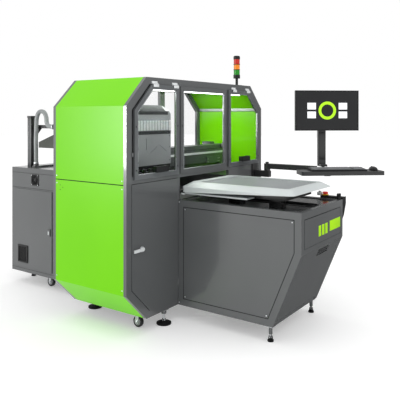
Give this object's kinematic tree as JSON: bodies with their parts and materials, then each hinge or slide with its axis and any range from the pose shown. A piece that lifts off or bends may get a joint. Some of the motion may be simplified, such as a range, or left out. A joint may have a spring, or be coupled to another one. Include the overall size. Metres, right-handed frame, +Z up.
{
  "type": "textile printer",
  "caption": "Industrial direct-to-garment textile printer: octagonal print tower with lift-up windows, sliding garment platen, service cabinet and operator console.",
  "frame": {"origin": "middle of the whole footprint's box, on the floor that the levelling feet stand on", "axes": "+X along the tower's front towards the operator console, +Y from the platen table to the service cabinet, +Z up"},
  "size_m": [1.8402, 2.7684, 1.912],
  "materials": {
    "grey_enamel": "gloss powder coat",
    "lime_enamel": "gloss powder coat",
    "dark_enamel": "satin powder coat",
    "anodised_frame": "satin anodised",
    "clear_acrylic": "polished",
    "black_plastic": "moulded",
    "bright_steel": "ground",
    "diffuser": "opal",
    "white_enamel": "satin powder coat",
    "garment_board": "fine texture",
    "carriage_grey": "satin powder coat",
    "head_black": "moulded",
    "red_plastic": "moulded",
    "grey_rubber": "moulded",
    "smoked_acrylic": "polished",
    "lens_green": "translucent",
    "lens_amber": "translucent",
    "lens_red": "translucent",
    "stack_black": "moulded"
  },
  "bodies": {
    "tower": {"front_frame": "grey_enamel", "rear_frame": "grey_enamel", "base_tray": "grey_enamel", "lower_front_panel": "grey_enamel", "rear_panels": "grey_enamel", "extension_frame": "grey_enamel", "extension_panels": "grey_enamel", "rear_cabinet": "grey_enamel", "console_bracket": "grey_enamel", "left_upper_panel": "lime_enamel", "left_lower_panel": "lime_enamel", "right_upper_panel": "lime_enamel", "right_lower_panel": "lime_enamel", "roof_panel": "lime_enamel", "deck": "dark_enamel", "table_top": "dark_enamel", "hose_post": "dark_enamel", "maintenance_station": "dark_enamel", "gantry_beam": "anodised_frame", "fixed_glazing": "clear_acrylic", "control_pod": "black_plastic", "window_hinges": "bright_steel", "gantry_rail": "bright_steel", "platen_rails": "bright_steel", "levelling_feet": "bright_steel", "led_tube": "diffuser", "suction_hose": "grey_rubber", "wedge_shroud": "smoked_acrylic", "stack_light_green": "lens_green", "stack_light_amber": "lens_amber", "stack_light_red": "lens_red", "stack_light_base": "stack_black"},
    "left_window": {"left_window_frame": "anodised_frame", "left_window_pane": "clear_acrylic", "left_window_handle": "black_plastic"},
    "right_window": {"right_window_frame": "anodised_frame", "right_window_pane": "clear_acrylic", "right_window_handle": "black_plastic"},
    "lower_door": {"lower_door": "grey_enamel"},
    "lever": {"lever_handle": "bright_steel"},
    "platen": {"platen_carriage": "white_enamel", "print_plate": "garment_board"},
    "hold_down": {"hold_down_frame": "white_enamel"},
    "print_carriage": {"carriage_cover": "carriage_grey", "ink_sub_tanks": "diffuser", "print_heads": "head_black"},
    "pulley": {"drive_pulley": "bright_steel"},
    "estop": {"estop_button": "red_plastic"},
    "knob": {"rotary_knob": "black_plastic"},
    "caster_front": {"caster_fork_front": "bright_steel"},
    "wheel_front": {"caster_wheel_front": "grey_rubber"},
    "caster_rear": {"caster_fork_rear": "bright_steel"},
    "wheel_rear": {"caster_wheel_rear": "grey_rubber"},
    "rear_door": {"rear_door": "grey_enamel"},
    "fan": {"fan_rotor": "black_plastic"},
    "console_arm": {"console_arm": "grey_enamel"},
    "console": {"console_column": "dark_enamel", "keyboard": "black_plastic", "mouse": "black_plastic"},
    "monitor": {"monitor": "black_plastic"}
  },
  "joints": [
    {"name": "left_window_hinge", "type": "hinge", "parent": "tower", "child": "left_window", "pos_m": [-0.65215, -0.32532, 1.619], "axis": [-1, 0, 0], "range_deg": [0, 85]},
    {"name": "right_window_hinge", "type": "hinge", "parent": "tower", "child": "right_window", "pos_m": [0.33585, -0.32532, 1.619], "axis": [-1, 0, 0], "range_deg": [0, 44]},
    {"name": "lower_door_hinge", "type": "hinge", "parent": "tower", "child": "lower_door", "pos_m": [-0.40015, -0.32182, 0.5], "axis": [0, 0, 1], "range_deg": [0, 85]},
    {"name": "lever_turn", "type": "hinge", "parent": "lower_door", "child": "lever", "pos_m": [-0.78015, -0.32782, 0.56], "axis": [0, -1, 0], "range_deg": [0, 90]},
    {"name": "platen_slide", "type": "slide", "parent": "tower", "child": "platen", "axis": [0, 1, 0], "range_m": [0, 1.25]},
    {"name": "hold_down_hinge", "type": "hinge", "parent": "platen", "child": "hold_down", "pos_m": [-0.05565, -0.33382, 0.888], "axis": [1, 0, 0], "range_deg": [-50, 0]},
    {"name": "carriage_slide", "type": "slide", "parent": "tower", "child": "print_carriage", "axis": [1, 0, 0], "range_m": [0, 0.84]},
    {"name": "drive_pulley_spin", "type": "hinge", "parent": "tower", "child": "pulley", "pos_m": [0.67785, 0.01218, 1.148], "axis": [0, 1, 0], "range_deg": [0, 2410]},
    {"name": "estop_press", "type": "slide", "parent": "tower", "child": "estop", "axis": [0, 0, -1], "range_m": [0, 0.004], "stiffness_N_per_m": 900, "springref_m": -0.001},
    {"name": "knob_turn", "type": "hinge", "parent": "tower", "child": "knob", "pos_m": [0.26685, -1.22382, 0.85], "axis": [0, 0, 1], "range_deg": [-135, 135]},
    {"name": "caster_front_swivel", "type": "hinge", "parent": "tower", "child": "caster_front", "pos_m": [-0.66715, -0.21782, 0.09], "axis": [0, 0, 1], "continuous": true},
    {"name": "wheel_front_spin", "type": "hinge", "parent": "caster_front", "child": "wheel_front", "pos_m": [-0.66715, -0.19382, 0.041], "axis": [1, 0, 0], "continuous": true},
    {"name": "caster_rear_swivel", "type": "hinge", "parent": "tower", "child": "caster_rear", "pos_m": [-0.41815, 1.00118, 0.09], "axis": [0, 0, 1], "continuous": true},
    {"name": "wheel_rear_spin", "type": "hinge", "parent": "caster_rear", "child": "wheel_rear", "pos_m": [-0.41815, 0.97718, 0.041], "axis": [1, 0, 0], "continuous": true},
    {"name": "rear_door_hinge", "type": "hinge", "parent": "tower", "child": "rear_door", "pos_m": [-0.50915, 1.34318, 0.47], "axis": [0, 0, -1], "range_deg": [0, 110]},
    {"name": "fan_spin", "type": "hinge", "parent": "tower", "child": "fan", "pos_m": [-0.48815, 1.08118, 0.879], "axis": [1, 0, 0], "continuous": true},
    {"name": "console_arm_swivel", "type": "hinge", "parent": "tower", "child": "console_arm", "pos_m": [0.67985, -0.44082, 0.98], "axis": [0, 0, 1], "range_deg": [-8, 90]},
    {"name": "console_swivel", "type": "hinge", "parent": "console_arm", "child": "console", "pos_m": [0.67985, -0.93782, 0.98], "axis": [0, 0, 1], "range_deg": [-35, 60]},
    {"name": "monitor_tilt", "type": "hinge", "parent": "console", "child": "monitor", "pos_m": [0.68904, -0.93011, 1.45], "axis": [0.6428, -0.766, 0], "range_deg": [-20, 8]}
  ],
  "couplings": [
    {"joint": "drive_pulley_spin", "follows": "carriage_slide", "rad_per_m": 50}
  ]
}
